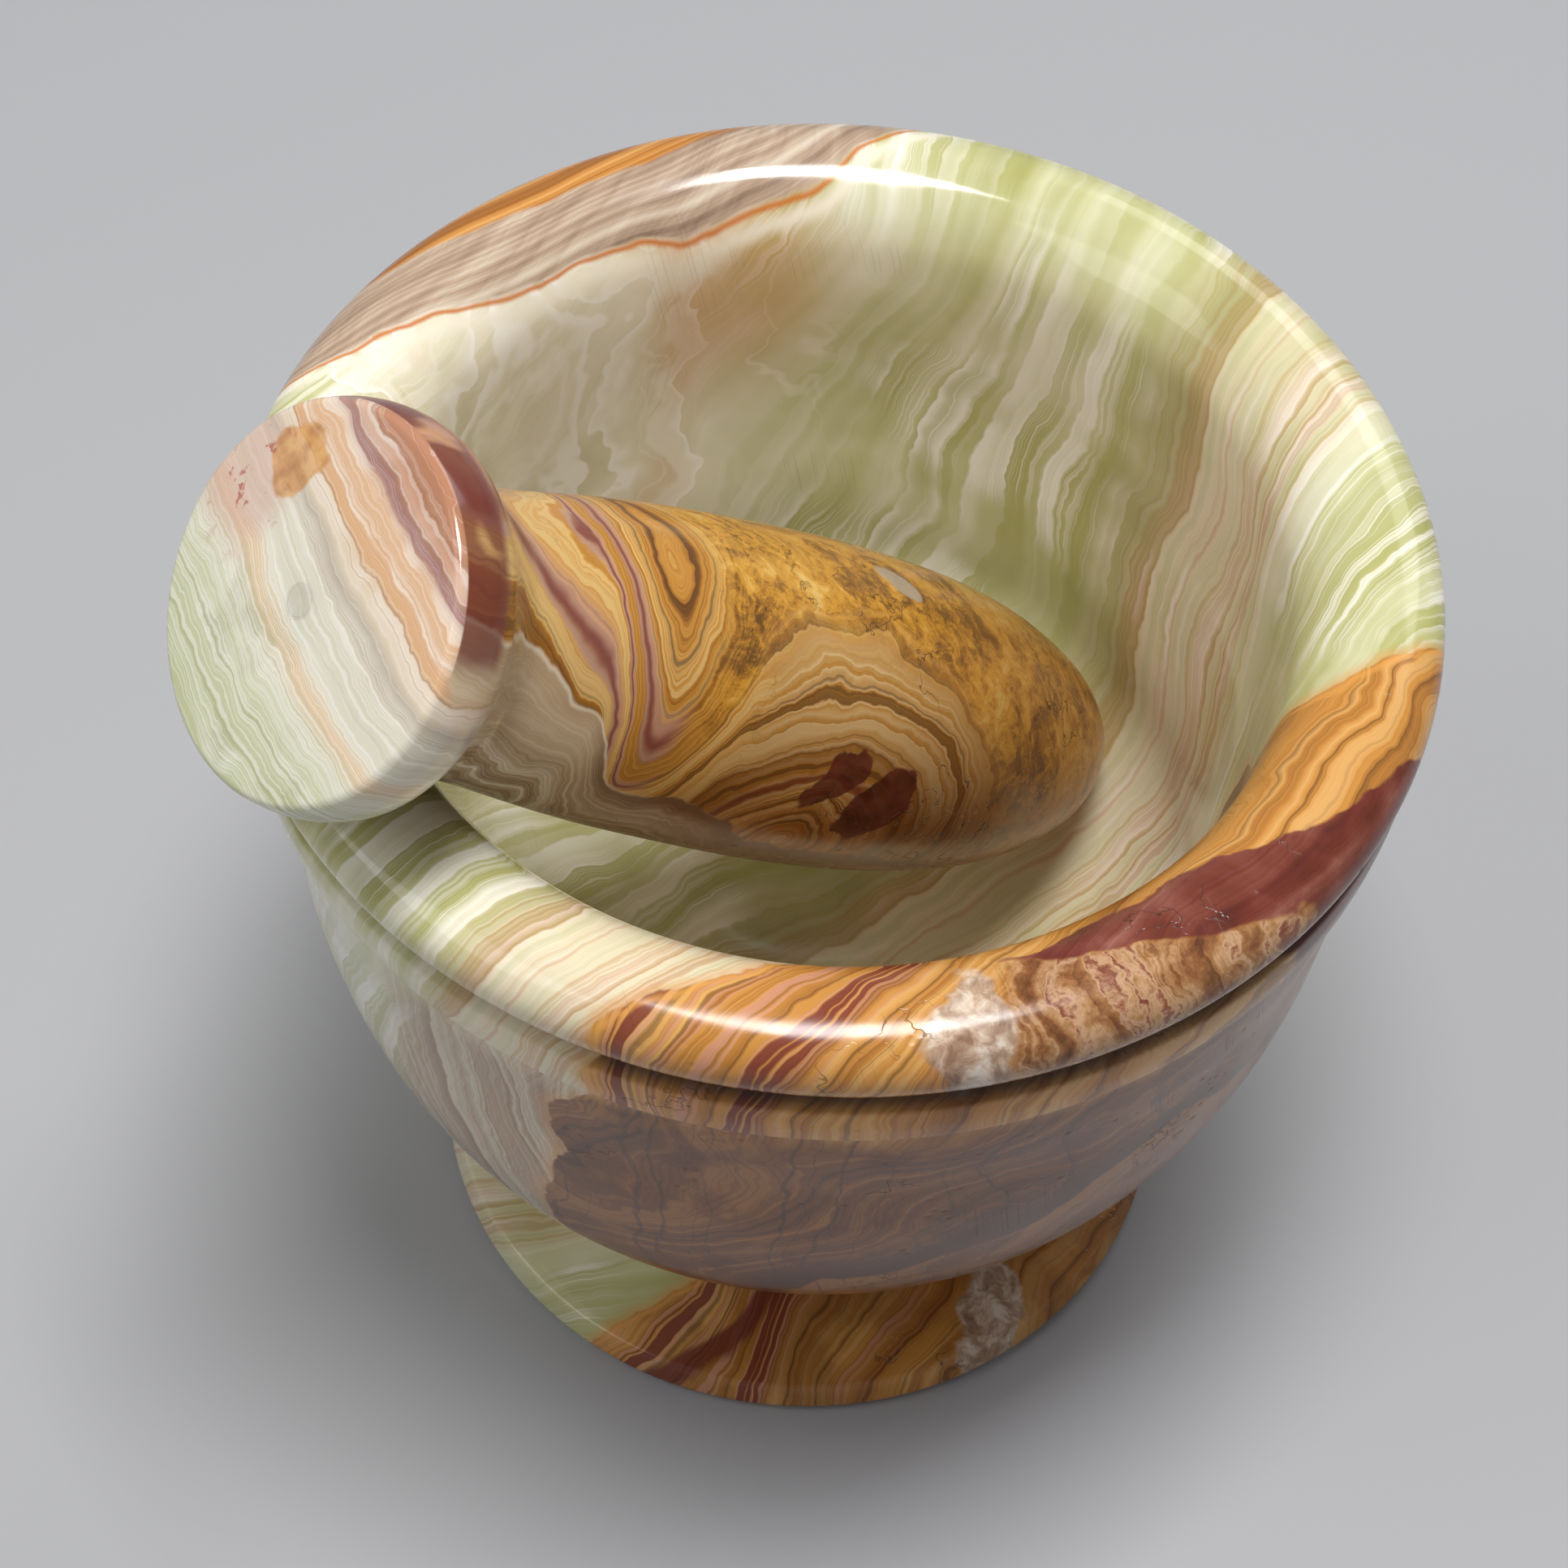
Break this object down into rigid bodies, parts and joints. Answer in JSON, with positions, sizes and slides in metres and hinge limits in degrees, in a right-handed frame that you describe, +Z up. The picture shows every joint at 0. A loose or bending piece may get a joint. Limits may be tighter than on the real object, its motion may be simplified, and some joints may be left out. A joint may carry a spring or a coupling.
{
  "type": "mortar and pestle",
  "caption": "Footed stone mortar with a rolled rim and raised band, and a knobbed stone pestle leaning in its bowl, for grinding by hand",
  "frame": {"origin": "centre of the mortar's flat foot, on the surface it stands on", "axes": "+Z up along the mortar's turning axis, +X to the right, +Y away from the front; the pestle leans over the front left of the rim"},
  "size_m": [0.102, 0.102, 0.1216],
  "materials": {
    "mortar_stone": "polished banded stone, green and brown",
    "pestle_stone": "polished banded stone, ochre and maroon"
  },
  "bodies": {
    "mortar": {"mortar": "mortar_stone"},
    "pestle": {"pestle": "pestle_stone"}
  },
  "joints": [
    {"name": "pestle_lift", "type": "slide", "parent": "mortar", "child": "pestle", "axis": [0, 0, 1], "range_m": [0, 0.1]}
  ]
}
